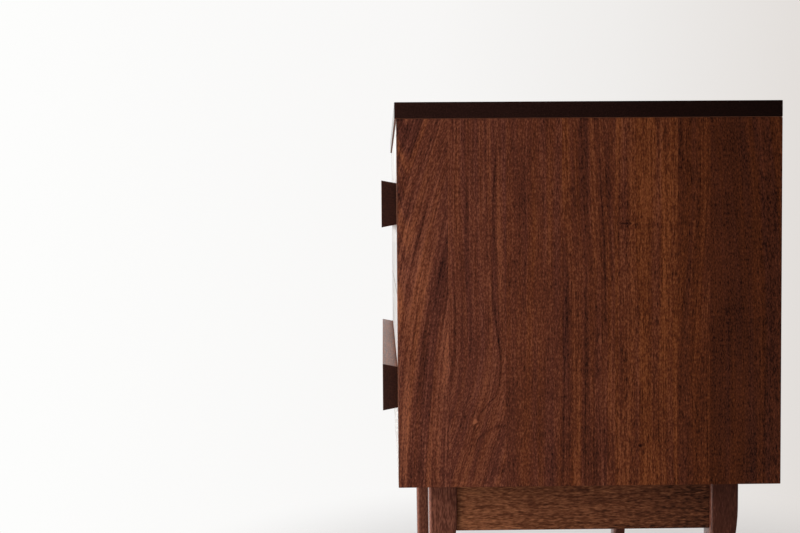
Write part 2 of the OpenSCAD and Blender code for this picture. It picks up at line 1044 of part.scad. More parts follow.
top_slab();
side_panel_left();
side_panel_right();
bottom_panel();
back_panel();
top_rail_front();
top_rail_rear();
divider_rail();
case_dowels();
upper_case_slides();
lower_case_slides();
case_slide_screws();
drawer_bumpers();
slab_screws();
back_screws();
leg_front_left();
leg_front_right();
leg_rear_left();
leg_rear_right();
apron_front();
apron_rear();
apron_left();
apron_right();
corner_blocks();
base_screws();
leg_glides();
upper_mid_slides();
upper_ball_cages();
lower_mid_slides();
lower_ball_cages();
upper_front();
upper_pull();
upper_box_left();
upper_box_right();
upper_box_front();
upper_box_back();
upper_box_bottom();
upper_drawer_slides();
upper_slide_screws();
upper_front_screws();
upper_pull_screws();
lower_front();
lower_pull();
lower_box_left();
lower_box_right();
lower_box_front();
lower_box_back();
lower_box_bottom();
lower_drawer_slides();
lower_slide_screws();
lower_front_screws();
lower_pull_screws();
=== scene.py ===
"""Looks of the nightstand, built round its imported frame.

Metres, with +Z up, the drawer fronts towards -Y and the floor at z = 0.
"""
import math

import bpy
from mathutils import Matrix, Vector

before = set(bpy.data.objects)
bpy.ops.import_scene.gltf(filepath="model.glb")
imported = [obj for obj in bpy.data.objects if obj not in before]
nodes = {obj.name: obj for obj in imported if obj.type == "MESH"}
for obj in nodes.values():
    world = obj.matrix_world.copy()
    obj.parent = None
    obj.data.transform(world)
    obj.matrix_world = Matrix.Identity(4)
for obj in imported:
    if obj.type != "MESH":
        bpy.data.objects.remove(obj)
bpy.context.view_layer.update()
scene = bpy.context.scene
scene.view_settings.view_transform = "Standard"


# Colours and node trees

def srgb(red, green, blue):
    """The linear colour of three display values from 0 to 255."""
    linear = []
    for value in (red, green, blue):
        share = value / 255
        linear.append(share / 12.92 if share <= 0.04045 else ((share + 0.055) / 1.055) ** 2.4)
    return (*linear, 1)


def darker(colour, level):
    """The linear colour at a share of its brightness."""
    return tuple(part * level for part in colour[:3]) + (1,)


class Graph:
    """A node tree under construction."""

    def __init__(self, tree):
        self.tree = tree
        tree.nodes.clear()

    def put(self, socket, value):
        """Links another node's output to the socket, or sets the socket's own value."""
        if isinstance(value, bpy.types.NodeSocket):
            self.tree.links.new(value, socket)
        else:
            socket.default_value = value

    def add(self, kind, values=None, **settings):
        """A new node with these values on its inputs."""
        node = self.tree.nodes.new(kind)
        for name, value in settings.items():
            setattr(node, name, value)
        for name, value in (values or {}).items():
            self.put(node.inputs[name], value)
        return node

    def math(self, operation, *values, clamp=False):
        node = self.add("ShaderNodeMath", operation=operation, use_clamp=clamp)
        for socket, value in zip(node.inputs, values):
            self.put(socket, value)
        return node.outputs[0]

    def vector(self, operation, *values):
        """A vector, or a number for a length or a distance."""
        node = self.add("ShaderNodeVectorMath", operation=operation)
        for socket, value in zip(node.inputs, values):
            self.put(socket, value)
        number = operation in ("LENGTH", "DISTANCE")
        return node.outputs["Value" if number else "Vector"]

    def join(self, x, y, z):
        return self.add("ShaderNodeCombineXYZ", {"X": x, "Y": y, "Z": z}).outputs[0]

    def split(self, vector):
        return self.add("ShaderNodeSeparateXYZ", {"Vector": vector}).outputs

    def mix(self, share, low, high):
        """The mix of two colours, which go on the node's inputs 6 and 7."""
        node = self.add("ShaderNodeMix", {0: share, 6: low, 7: high}, data_type="RGBA")
        return node.outputs[2]

    def lerp(self, share, low, high):
        """The mix of two numbers, which go on the node's inputs 2 and 3."""
        node = self.add("ShaderNodeMix", {0: share, 2: low, 3: high}, data_type="FLOAT")
        return node.outputs[0]

    def span(self, value, low, high, to_low=0.0, to_high=1.0, smooth=False):
        """The value's place between low and high, clamped."""
        node = self.add("ShaderNodeMapRange", {0: value, 1: low, 2: high, 3: to_low, 4: to_high},
                        interpolation_type="SMOOTHSTEP" if smooth else "LINEAR")
        return node.outputs[0]

    def noise(self, vector, scale=1.0, detail=2.0, roughness=0.5):
        return self.add("ShaderNodeTexNoise", {"Vector": vector, "Scale": scale, "Detail": detail,
                                               "Roughness": roughness}).outputs[0]

    def curve(self, value, points):
        """A smooth curve through the points, all from 0 to 1."""
        node = self.add("ShaderNodeFloatCurve", {"Value": value})
        line = node.mapping.curves[0].points
        line[0].location = points[0]
        line[1].location = points[-1]
        for point in points[1:-1]:
            line.new(*point)
        node.mapping.update()
        return node.outputs[0]

    def ramp(self, share, stops, interpolation="LINEAR"):
        """The colour at a share from 0 to 1, from stops with their place and colour."""
        node = self.add("ShaderNodeValToRGB", {0: share})
        ramp = node.color_ramp
        ramp.interpolation = interpolation
        while len(ramp.elements) < len(stops):
            ramp.elements.new(1)
        for element, (place, colour) in zip(ramp.elements, stops):
            element.position = place
            element.color = colour
        return node.outputs[0]


# Camera of the photograph

SENSOR = 36.0
LENS = 52.09
VIEW_REACH = (0.01, 200)
CAMERA_PLACE = Vector((1.5157, -0.2090, 0.5123))
CAMERA_YAW, CAMERA_PITCH, CAMERA_ROLL = (math.radians(a) for a in (0.829, 2.298, 0.411))


def make_camera():
    """Looks along -X, turned a little towards +Y and down, as the case's edges give it."""
    level = Vector((-math.cos(CAMERA_YAW), math.sin(CAMERA_YAW), 0))
    side = Vector((math.sin(CAMERA_YAW), math.cos(CAMERA_YAW), 0))
    plumb = Vector((0, 0, 1))
    forward = level * math.cos(CAMERA_PITCH) - plumb * math.sin(CAMERA_PITCH)
    above = level * math.sin(CAMERA_PITCH) + plumb * math.cos(CAMERA_PITCH)
    right = side * math.cos(CAMERA_ROLL) - above * math.sin(CAMERA_ROLL)
    top = side * math.sin(CAMERA_ROLL) + above * math.cos(CAMERA_ROLL)
    data = bpy.data.cameras.new("camera")
    data.sensor_width = SENSOR
    data.lens = LENS
    data.clip_start, data.clip_end = VIEW_REACH
    camera = bpy.data.objects.new("camera", data)
    turned = Matrix((right, top, -forward)).transposed().to_4x4()
    camera.matrix_world = Matrix.Translation(CAMERA_PLACE) @ turned
    scene.collection.objects.link(camera)
    scene.camera = camera


# Backdrop, floor and lights

# The backdrop's colours, by the +Y part of the direction
BACKDROP = [(-0.3, srgb(253, 253, 252)), (0.04, srgb(248, 247, 246)),
            (0.2, srgb(239, 237, 235)), (0.36, srgb(225, 220, 216))]
MIDDLE_BACKDROP = BACKDROP[1][1]

# The light from all round, and the room's level in reflections on the camera's side, which is
# reached between two +X parts of the direction
FILL_LEVEL = 0.17
ROOM_LEVEL = 0.08
ROOM_TURN = (-0.2, 0.5)

# The floor's look is the backdrop's by the shadow's share near the object, and fully beyond the
# shadow's reach. Near the point below the camera it has the backdrop's middle colour, and beyond
# the camera's reach all of its colours.
FLOOR_RADIUS = 40.0
FLOOR_SIDES = 96
FLOOR_COLOUR = (0.86, 0.85, 0.84, 1)
SHADOW_MIDDLE = (0, 0.08, 0)
SHADOW_REACH = (0.28, 0.74)
SHADOW_SHARE = 0.36
CAMERA_REACH = (0.3, 1.8)

# Lamps: name, place, point that it is aimed at, size, watts, whether reflections show it
LAMPS = [
    ("key", (1.0, -1.3, 0.62), (0.3, -0.05, 0.35), (0.7, 0.7), 13.0, False),
    ("front", (-0.3, -2.3, 0.9), (0, -0.2, 0.35), (1.4, 1.2), 15.0, True),
    ("rear", (-0.5, 2.3, 1.4), (0, 0.1, 0.35), (1.4, 1.4), 28.0, False),
    ("left", (-2.2, -0.2, 1.1), (-0.2, 0.0, 0.35), (1.4, 1.4), 16.0, False),
]


def backdrop_colour(graph, direction):
    """White towards the drawer fronts and a little darker towards the rear."""
    across = graph.split(graph.vector("NORMALIZE", direction))[1]
    stops = [((place + 1) / 2, colour) for place, colour in BACKDROP]
    return graph.ramp(graph.span(across, -1, 1), stops)


def room_level(graph, path, direction):
    """Full for the camera. In reflections the room is dim on the side where the camera stands."""
    aside = graph.split(graph.vector("NORMALIZE", direction))[0]
    mirrored = graph.span(aside, *ROOM_TURN, 1.0, ROOM_LEVEL)
    return graph.lerp(path["Is Camera Ray"], mirrored, 1.0)


def make_world():
    """A weak even light, and the backdrop for the camera and in reflections."""
    world = bpy.data.worlds.new("studio")
    world.use_nodes = True
    scene.world = world
    graph = Graph(world.node_tree)
    direction = graph.add("ShaderNodeTexCoord").outputs["Generated"]
    path = graph.add("ShaderNodeLightPath").outputs
    light = graph.add("ShaderNodeBackground", {"Color": (1, 1, 1, 1), "Strength": FILL_LEVEL})
    shown = graph.add("ShaderNodeBackground",
                      {"Color": backdrop_colour(graph, direction),
                       "Strength": room_level(graph, path, direction)})
    seen = graph.math("MAXIMUM", path["Is Camera Ray"], path["Is Glossy Ray"])
    both = graph.add("ShaderNodeMixShader", {0: seen, 1: light.outputs[0], 2: shown.outputs[0]})
    graph.add("ShaderNodeOutputWorld", {"Surface": both.outputs[0]})


def floor_mesh():
    """A flat disc."""
    turns = [2 * math.pi * side / FLOOR_SIDES for side in range(FLOOR_SIDES)]
    ring = [(FLOOR_RADIUS * math.cos(turn), FLOOR_RADIUS * math.sin(turn), 0) for turn in turns]
    mesh = bpy.data.meshes.new("floor")
    mesh.from_pydata(ring, [], [list(range(FLOOR_SIDES))])
    return mesh


def floor_material():
    """Takes the object's shadow, passes into the backdrop further out, and can be seen through
    from below."""
    graph = new_material("floor")
    away = graph.vector("DISTANCE", graph.place, SHADOW_MIDDLE)
    ahead = graph.vector("SUBTRACT", graph.place, (*CAMERA_PLACE.xy, 0))
    beyond = graph.span(graph.vector("LENGTH", ahead), *CAMERA_REACH, smooth=True)
    seen = graph.mix(beyond, MIDDLE_BACKDROP, backdrop_colour(graph, ahead))
    near = graph.add("ShaderNodeBsdfDiffuse", {"Color": FLOOR_COLOUR})
    far = graph.add("ShaderNodeEmission", {"Color": seen, "Strength": 1})
    path = graph.add("ShaderNodeLightPath").outputs
    share = graph.math("MULTIPLY", path["Is Camera Ray"],
                       graph.span(away, *SHADOW_REACH, SHADOW_SHARE, 1.0, smooth=True))
    both = graph.add("ShaderNodeMixShader", {0: share, 1: near.outputs[0], 2: far.outputs[0]})
    below = graph.add("ShaderNodeNewGeometry").outputs["Backfacing"]
    clear = graph.add("ShaderNodeBsdfTransparent")
    shader = graph.add("ShaderNodeMixShader", {0: below, 1: both.outputs[0], 2: clear.outputs[0]})
    graph.add("ShaderNodeOutputMaterial", {"Surface": shader.outputs[0]})
    return graph.material


def make_floor():
    mesh = floor_mesh()
    mesh.materials.append(floor_material())
    floor = bpy.data.objects.new("floor", mesh)
    scene.collection.objects.link(floor)


def make_lamp(name, place, target, size, watts, mirrored):
    data = bpy.data.lights.new(name, "AREA")
    data.shape = "RECTANGLE"
    data.size, data.size_y = size
    data.energy = watts
    lamp = bpy.data.objects.new(name, data)
    lamp.location = place
    aim = Vector(target) - Vector(place)
    lamp.rotation_mode = "QUATERNION"
    lamp.rotation_quaternion = aim.to_track_quat("-Z", "Y")
    lamp.visible_camera = False
    lamp.visible_glossy = mirrored
    scene.collection.objects.link(lamp)


# Eased edges and smooth curved faces, as modifiers on the frame's own pieces

WELD_REACH = 1e-6
FLAT_ANGLE = math.radians(1)
LONG_EDGE = 0.003
OUTER_ANGLE = 0.7
SHARP_ANGLE = 0.6
BEVEL_STEPS = 3


def eased_marks(graph, faces, angle):
    """Marks long outer edges for the bevel."""
    ends = graph.add("GeometryNodeInputMeshEdgeVertices").outputs
    length = graph.vector("DISTANCE", ends["Position 1"], ends["Position 2"])
    long = graph.math("GREATER_THAN", length, LONG_EDGE)
    outer = graph.math("GREATER_THAN", angle["Signed Angle"], OUTER_ANGLE)
    values = {"Geometry": faces, "Name": "bevel_weight_edge",
              "Value": graph.math("MULTIPLY", long, outer)}
    return graph.add("GeometryNodeStoreNamedAttribute", values,
                     data_type="FLOAT", domain="EDGE").outputs[0]


def sharp_marks(graph, faces, angle):
    """Keeps sharp edges sharp in the shading."""
    sharp = graph.math("GREATER_THAN", angle["Unsigned Angle"], SHARP_ANGLE)
    values = {"Geometry": faces, "Selection": sharp, "Shade Smooth": False}
    return graph.add("GeometryNodeSetShadeSmooth", values, domain="EDGE").outputs[0]


def edge_group(name, marks):
    """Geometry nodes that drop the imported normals, shade the faces smooth and mark edges."""
    tree = bpy.data.node_groups.new(name, "GeometryNodeTree")
    graph = Graph(tree)
    for way in ("INPUT", "OUTPUT"):
        tree.interface.new_socket("Geometry", in_out=way, socket_type="NodeSocketGeometry")
    start = graph.add("NodeGroupInput").outputs[0]
    plain = graph.add("GeometryNodeRemoveAttribute",
                      {"Geometry": start, "Name": "custom_normal"}).outputs[0]
    smooth = graph.add("GeometryNodeSetShadeSmooth", {"Geometry": plain, "Shade Smooth": True},
                       domain="FACE").outputs[0]
    angle = graph.add("GeometryNodeInputMeshEdgeAngle").outputs
    graph.add("NodeGroupOutput", {0: marks(graph, smooth, angle)})
    return tree


def weld(piece):
    """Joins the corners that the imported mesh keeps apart."""
    piece.modifiers.new("weld", "WELD").merge_threshold = WELD_REACH


def ease_edges(group, width, names):
    """Small bevels along the marked edges, with flat faces kept flat in the shading."""
    for name in names:
        piece = nodes[name]
        weld(piece)
        flat = piece.modifiers.new("flat", "DECIMATE")
        flat.decimate_type = "DISSOLVE"
        flat.angle_limit = FLAT_ANGLE
        piece.modifiers.new("marks", "NODES").node_group = group
        bevel = piece.modifiers.new("eased", "BEVEL")
        bevel.limit_method = "WEIGHT"
        bevel.width = width
        bevel.segments = BEVEL_STEPS
        bevel.use_clamp_overlap = False
        piece.modifiers.new("shading", "WEIGHTED_NORMAL")


def smooth_faces(group, names):
    for name in names:
        weld(nodes[name])
        nodes[name].modifiers.new("marks", "NODES").node_group = group


# Tools that the materials share

# Parts of a face's direction: for end grain, front faces and downward faces
END_TURN = 0.8
FRONT_TURN = (-0.15, -0.75)
DOWN_TURN = -0.6


def new_material(name):
    """A graph with its material and the place on the piece."""
    material = bpy.data.materials.new(name)
    material.use_nodes = True
    graph = Graph(material.node_tree)
    graph.material = material
    graph.place = graph.add("ShaderNodeTexCoord").outputs["Object"]
    return graph


def finish_material(graph, colour, roughness, height, depth, **fixed):
    """Ends the graph in one shader. Fixed values go on the shader's own sockets."""
    bump = graph.add("ShaderNodeBump", {"Height": height, "Strength": 1.0, "Distance": depth})
    values = {"Base Color": colour, "Roughness": roughness, "Normal": bump.outputs[0]}
    values.update({name.replace("_", " "): value for name, value in fixed.items()})
    shader = graph.add("ShaderNodeBsdfPrincipled", values)
    graph.add("ShaderNodeOutputMaterial", {"Surface": shader.outputs[0]})
    return graph.material


def paint(material, *names):
    """Gives the pieces this one material."""
    for name in names:
        slots = nodes[name].data.materials
        slots.clear()
        slots.append(material)


def along(graph, axis):
    """The place with the grain's direction last: two ways across the grain, then along it."""
    x, y, z = graph.split(graph.place)
    return {"X": (y, z, x), "Y": (x, z, y), "Z": (x, y, z)}[axis]


def stretched(graph, ways, across, lengthwise):
    """Coordinates in cells that are long in the grain's direction. Scales are cells a metre."""
    a, b, c = ways
    return graph.join(graph.math("MULTIPLY", a, across), graph.math("MULTIPLY", b, across),
                      graph.math("MULTIPLY", c, lengthwise))


def centred(graph, value, strength):
    """The value's distance from a half, times the strength."""
    return graph.math("MULTIPLY", graph.math("SUBTRACT", value, 0.5), strength)


def within(graph, value, low, high):
    """1 between low and high."""
    return graph.math("MULTIPLY", graph.math("GREATER_THAN", value, low),
                      graph.math("LESS_THAN", value, high))


def stripe(graph, value, middle, reach, smooth=False):
    """1 where the value is within the first reach of the middle, falling to 0 at the second."""
    away = graph.math("ABSOLUTE", graph.math("SUBTRACT", value, middle))
    return graph.span(away, *reach, 1, 0, smooth=smooth)


def facing(graph):
    """The face's own direction, as its three parts."""
    return graph.split(graph.add("ShaderNodeNewGeometry").outputs["True Normal"])


def end_grain(graph, axis):
    """1 where a face cuts across the grain."""
    part = facing(graph)["XYZ".index(axis)]
    return graph.math("GREATER_THAN", graph.math("ABSOLUTE", part), END_TURN)


def front_edge(graph):
    """1 on faces towards the front, falling to 0 round their eased edges."""
    return graph.span(facing(graph)[1], *FRONT_TURN)


def tone_ramp(graph, tone, tones):
    """The colour at a tone from 0 to 1, through the dark, middle and light tones."""
    stops = [(place, srgb(*colour)) for place, colour in zip((0.0, 0.5, 1.0), tones)]
    return graph.ramp(tone, stops)


# Plain wood

# Dark, middle and light tones of each wood
WALNUT = ((52, 27, 18), (104, 60, 41), (146, 92, 62))
LEG_WALNUT = ((46, 23, 17), (90, 50, 38), (166, 102, 80))
PULL_WALNUT = ((55, 36, 34), (134, 77, 53), (172, 108, 76))
APRON_WALNUT = ((48, 25, 16), (116, 67, 44), (172, 110, 74))
EBONY = ((24, 11, 8), (41, 22, 18), (58, 34, 28))
MAPLE = ((186, 152, 112), (212, 184, 146), (228, 204, 170))

# Growth rings: how far the pith line lies on the minus side of the frame's middle, both ways
# across the grain, the distance between rings, and their slow drift in rings. Each pair of cells
# is cells a metre across and along the grain.
PITH = (0.3, 0.35)
RING_SPACING = 0.006
RING_DRIFT = 9
RING_LENGTH_CELLS = 1.5
DRIFT_CELLS = (6, 1.6)
STREAK_CELLS = (420, 20)
FIBRE_CELLS = (780, 180)
PORE_CELLS = (850, 90)
PORE_SPAN = (0.34, 0.46)

# Strengths of the rings, streaks, fibres and pores in the tone, strength of the fibres in the
# relief, and its depth in metres
RING_TONE = 0.6
STREAK_TONE = 0.9
FIBRE_TONE = 1.9
PORE_TONE = 0.35
FIBRE_HEIGHT = 0.4
WOOD_DEPTH = 0.00004

# Level of the dark tone on end grain, swing of the roughness, and roughness of front faces
END_LEVEL = 0.5
ROUGHNESS_SWING = 0.05
SHEEN_ROUGHNESS = 0.15


def growth_rings(graph, ways):
    """Noise that changes from ring to ring round a pith line outside the piece."""
    drift = graph.noise(stretched(graph, ways, *DRIFT_CELLS))
    a = graph.math("ADD", ways[0], PITH[0])
    b = graph.math("ADD", ways[1], PITH[1])
    rings_out = graph.math("DIVIDE", graph.vector("LENGTH", graph.join(a, b, 0)), RING_SPACING)
    ring = graph.math("ADD", rings_out, graph.math("MULTIPLY", drift, RING_DRIFT))
    length = graph.math("MULTIPLY", ways[2], RING_LENGTH_CELLS)
    return graph.noise(graph.join(ring, length, 0), 0.9, 3, 0.65)


def wood_tone(graph, ways, streaks, fibres, coarse):
    """The tone of the rings, streaks and fibres."""
    tone = 0.5
    for value, strength in ((growth_rings(graph, ways), RING_TONE), (streaks, STREAK_TONE),
                            (fibres, FIBRE_TONE)):
        tone = graph.math("ADD", tone, centred(graph, value, strength * coarse))
    return tone


def wood_colour(graph, axis, tone, tones, pores, ends):
    """The tones' colour, darker in the pores and on end grain."""
    dark = srgb(*tones[0])
    colour = graph.mix(pores, tone_ramp(graph, tone, tones), dark)
    cut = graph.math("MULTIPLY", end_grain(graph, axis), ends)
    return graph.mix(cut, colour, darker(dark, END_LEVEL))


def plain_wood(name, axis, tones, coarse=1.0, ends=0.4, roughness=0.45, level=0.06, sheen=None,
               painted_front_light=0.0, painted_falloff=None, gloss=None, under=None):
    """Wood with growth rings, fibres and pores. Front faces take the sheen, and a painted front
    light that raises their tone as if brightly lit.
    A painted falloff is painted light and shade: the tone slowly lighter at the front and darker
    towards the rear. Gloss is a like change from front to rear of the level of reflections. Under
    is the colour of downward faces."""
    graph = new_material(name)
    ways = along(graph, axis)
    streaks = graph.noise(stretched(graph, ways, *STREAK_CELLS), roughness=0.6)
    fibres = graph.noise(stretched(graph, ways, *FIBRE_CELLS), detail=1)
    pore = graph.span(graph.noise(stretched(graph, ways, *PORE_CELLS), detail=1), *PORE_SPAN, 1, 0)
    tone = wood_tone(graph, ways, streaks, fibres, coarse)
    front = graph.split(graph.place)[1]
    edge = front_edge(graph)
    # Painted light and shade: the tone lighter at the front and darker towards the rear.
    if painted_falloff:
        tone = graph.math("ADD", tone, graph.span(front, *painted_falloff))
    # Painted light: front faces lighter in tone, as if lit from the front.
    if painted_front_light:
        tone = graph.math("MULTIPLY_ADD", edge, painted_front_light, tone)
    pores = graph.math("MULTIPLY", pore, PORE_TONE * coarse)
    colour = wood_colour(graph, axis, tone, tones, pores, ends)
    if under:
        down = graph.math("LESS_THAN", facing(graph)[2], DOWN_TURN)
        colour = graph.mix(down, colour, srgb(*under))
    rough = graph.lerp(streaks, roughness - ROUGHNESS_SWING, roughness + ROUGHNESS_SWING)
    height = graph.math("SUBTRACT", graph.math("MULTIPLY", fibres, FIBRE_HEIGHT), pore)
    if gloss:
        level = graph.span(front, *gloss)
    if sheen:
        rough = graph.lerp(edge, rough, SHEEN_ROUGHNESS)
        level = graph.lerp(edge, level, sheen)
        height = graph.math("MULTIPLY", height, graph.math("SUBTRACT", 1.0, edge))
    return finish_material(graph, colour, rough, height, WOOD_DEPTH * coarse,
                           Specular_IOR_Level=level)


# Boards of the side panels

# From front to rear: rear edge in metres, tone, stripes, pores, warmth
BOARDS = [
    (-0.1408, 0.62, 0.70, 0.50, 0.15), (-0.0814, 0.53, 0.50, 0.60, 0.25),
    (-0.0225, 0.50, 0.25, 0.65, 0.45), (0.0344, 0.47, 0.60, 0.60, 0.55),
    (0.0987, 0.58, 0.45, 0.90, 0.90), (0.1336, 0.39, 0.40, 0.70, 0.85),
    (0.1833, 0.29, 0.22, 0.45, 0.80), (0.3000, 0.30, 0.25, 0.45, 0.80),
]
TONE, STRIPES, PORES, WARMTH = 1, 2, 3, 4
BOARD_SPAN = 0.21
EDGES = [-BOARD_SPAN] + [board[0] for board in BOARDS]
CASE_FOOT = 0.23
CASE_RISE = 0.3875

# Cool and warm tones of the boards: dark, middle and light
COOL_BOARD = ((36, 18, 15), (106, 56, 43), (170, 102, 76))
WARM_BOARD = ((38, 15, 7), (108, 54, 29), (168, 96, 54))

# Noises of the boards: cells a metre across and up, detail, roughness of the detail
BOARD_NOISES = {
    "sway": (14, 9, 2, 0.5), "broad": (115, 3, 1, 0.5), "middle": (420, 7, 1, 0.6),
    "fine": (820, 330, 1, 0.5), "dash": (850, 100, 1, 0.5), "veins": (150, 1.5, 1, 0.5),
    "patch": (40, 14, 2, 0.5),
}
# How fast the noises change with the boards' tone and through the panel's thickness
LAYER_STEP = 37

# Strengths of the noises, of the thin veins and of the pores in the tone
BROAD_TONE = 0.85
MIDDLE_TONE = 1.3
FINE_TONE = 1.0
PATCH_TONE = 0.30
VEIN_REACH = (0.006, 0.045)
VEIN_TONE = -0.17
PIT_SPAN = (0.36, 0.46)
PIT_TONE = -0.30

# Swing of the warmth, roughness, level of reflections and depth of the relief in metres. The
# panel's front edge carries painted light, lighter than its face, and is smoother.
WARMTH_SWING = 1.6
BOARD_ROUGHNESS = (0.42, 0.54)
BOARD_LEVEL = 0.06
BOARD_DEPTH = 0.00005
EDGE_PAINTED_LIGHT = 0.62
BOARD_EDGE_ROUGHNESS = 0.25
BOARD_EDGE_LEVEL = 0.3

# How far the second board's lines swing aside, by share of height: 0.5 is no swing and 0.01
# stands for a millimetre. Two dark lines of that board have swings of their own.
SWING = [(0.0, 0.16), (0.1, 0.27), (0.2, 0.39), (0.3, 0.49), (0.4, 0.53), (0.55, 0.52),
         (0.7, 0.5), (1.0, 0.5)]
DARK_SWING = [(0.0, 0.15), (0.02, 0.17), (0.095, 0.31), (0.15, 0.35), (0.186, 0.39),
              (0.227, 0.50), (0.253, 0.59), (0.284, 0.626), (0.335, 0.639), (0.446, 0.59),
              (0.542, 0.55), (0.663, 0.5), (1.0, 0.5)]
UPPER_DARK_SWING = [(0.0, 0.70), (0.5, 0.70), (0.555, 0.674), (0.6, 0.627), (0.67, 0.579),
                    (0.76, 0.563), (0.9, 0.595), (1.0, 0.627)]
SWING_SCALE = 0.1

# Shifts of other boards' lines in metres: two shares of height with the shift at each, and the
# shift that goes by the cube of the share
FOURTH_SHIFT = (0.57, 1.0, 0.0, -0.0085)
SIXTH_SHIFT = (0.3, 0.8, 0.0, 0.007)
REAR_SHIFT = -0.0167

# The first board's lines lean by the square of their height. From the first to the second share
# of height they pass into V shapes, folded round a place with a small rounding.
LEAN = 0.45
FOLD_PLACE = -0.183
FOLD_ROUNDING = 0.000012
FOLD_RISE = (0.3, 0.55)

# Slow sway of all lines, in metres
SWAY = 0.005

# Pin knots: place along the panel and above the floor, reach of the bent grain, squash in height,
# change of tone in the middle, reach of the middle
KNOTS = [(-0.1134, 0.2995, 0.010, 0.7, 0.50, 0.0034), (0.0450, 0.5071, 0.012, 4.0, -0.6, 0.0070),
         (0.0608, 0.2730, 0.007, 1.4, -0.42, 0.0046)]

# How far the lines give way round a knot, and the reach of its full tone in metres
KNOT_BEND = 0.85
KNOT_HEART = 0.0006

# Marks of the grain that are drawn one by one, each with its change of tone. A reach is a pair
# of distances: the mark is full within the first and gone at the second.

# Dark lines of the second board: swing, middle and half length as shares of height
DARK_LINES = [(DARK_SWING, 0.36, 0.34), (UPPER_DARK_SWING, 0.78, 0.25)]
DARK_PLACE = -0.1
DARK_REACH = (0.0004, 0.0016)
DARK_FADE = 0.2
DARK_TONE = -0.27

# A curved line below the second board's knot: its top across the panel and above the floor
SWEEP_TOP = (-0.0816, 0.2949)
SWEEP_BEND = -17.2
SWEEP_REACH = (0.0006, 0.0022)
SWEEP_SPAN = (-0.112, -0.0814)
SWEEP_TONE = -0.19

# A dark cloud low on the second board
CLOUD_PLACE = (-0.086, 0.250, 0.0)
CLOUD_REACH = (0.002, 0.013)
CLOUD_TONE = -0.20

# The first board's dark band: where it starts and ends across, and where it ends upwards. The
# board is darker from the last pair of shares of height upwards.
BAND_START = (-0.1845, -0.1825)
BAND_END = (-0.166, -0.156)
BAND_TOP = (0.5, 0.8)
UPPER_START = (0.5, 0.95)
BAND_TONE = -0.13

# Straight lines: what they follow, its value there, reach, soft or not, span across, tone
STRAIGHT_MARKS = [
    ("grain", 0.1296, (0.0003, 0.0011), False, (0.0987, 0.1390), 0.13),
    ("grain", 0.1893, (0.0003, 0.0012), False, (0.1336, 0.3000), 0.09),
    ("height", 0.5045, (0.0008, 0.0035), True, (0.0460, 0.0987), -0.10),
]


def first_board(graph, across):
    """1 on the first board."""
    return graph.math("LESS_THAN", across, EDGES[1])


def on_boards(graph, across, first, last):
    """1 from the first to the last of these boards, counted from 1."""
    return within(graph, across, EDGES[first - 1], EDGES[last])


def board_values(graph, across, *columns):
    """Three of the boards' values, each held from one joint to the next."""
    stops = [((start + BOARD_SPAN) / (2 * BOARD_SPAN), (*(board[c] for c in columns), 1))
             for start, board in zip(EDGES, BOARDS)]
    return graph.split(graph.ramp(graph.span(across, -BOARD_SPAN, BOARD_SPAN), stops, "CONSTANT"))


def board_noise(graph, name, across, up, layer):
    across_cells, up_cells, detail, roughness = BOARD_NOISES[name]
    place = graph.join(graph.math("MULTIPLY", across, across_cells),
                       graph.math("MULTIPLY", up, up_cells), layer)
    return graph.noise(place, 1.0, detail, roughness)


def board_swing(graph, across, share):
    """How far the lines of some boards lie aside, in metres, by share of height."""
    swings = [
        (2, 2, centred(graph, graph.curve(share, SWING), SWING_SCALE)),
        (4, 4, graph.span(share, *FOURTH_SHIFT)),
        (6, 6, graph.span(share, *SIXTH_SHIFT, smooth=True)),
        (7, 8, graph.math("MULTIPLY", graph.math("POWER", share, 3.0), REAR_SHIFT)),
    ]
    total = 0.0
    for first, last, swing in swings:
        boards = on_boards(graph, across, first, last)
        total = graph.math("MULTIPLY_ADD", boards, swing, total)
    return total


def knot_marks(graph, across, up, shift):
    """The shift of the lines with their bends round the knots, and the knots' change of tone."""
    cores = 0.0
    for place, height, reach, squash, change, middle in KNOTS:
        dy = graph.math("SUBTRACT", across, place)
        dz = graph.math("MULTIPLY", graph.math("SUBTRACT", up, height), squash)
        away = graph.vector("LENGTH", graph.join(dy, dz, 0.0))
        near = graph.span(away, 0.0, reach, KNOT_BEND, 0.0, smooth=True)
        shift = graph.math("MULTIPLY_ADD", dy, near, shift)
        core = graph.span(away, KNOT_HEART, middle, change, 0, smooth=True)
        cores = graph.math("ADD", cores, core)
    return shift, cores


def folded_place(graph, across):
    """The place across with both sides of the fold laid over each other."""
    fold = graph.math("SUBTRACT", across, FOLD_PLACE)
    fold = graph.math("SQRT", graph.math("MULTIPLY_ADD", fold, fold, FOLD_ROUNDING))
    return graph.math("ADD", fold, FOLD_PLACE)


def board_lines(graph, across, up, share):
    """A coordinate whose level lines are the grain's lines, the same with the first board's
    upper lines folded to V shapes, and the knots' change of tone."""
    rise = graph.math("MULTIPLY", share, CASE_RISE)
    lean = graph.math("MULTIPLY", graph.math("MULTIPLY", rise, rise), LEAN)
    first = first_board(graph, across)
    shift = graph.lerp(first, board_swing(graph, across, share), lean)
    sway = board_noise(graph, "sway", across, up, 0.0)
    shift = graph.math("SUBTRACT", shift, centred(graph, sway, SWAY))
    shift, cores = knot_marks(graph, across, up, shift)
    high = graph.math("MULTIPLY", first, graph.span(share, *FOLD_RISE, smooth=True))
    folded = graph.lerp(high, across, folded_place(graph, across))
    return graph.math("SUBTRACT", across, shift), graph.math("SUBTRACT", folded, shift), cores


def dark_line(graph, across, share, swing, middle, half):
    """A thin line along a swing of the second board, fading out towards both its ends."""
    place = centred(graph, graph.curve(share, swing), SWING_SCALE)
    line = stripe(graph, graph.math("SUBTRACT", across, place), DARK_PLACE, DARK_REACH)
    part = stripe(graph, share, middle, (half - DARK_FADE, half))
    return graph.math("MULTIPLY", graph.math("MULTIPLY", line, part),
                      on_boards(graph, across, 2, 2))


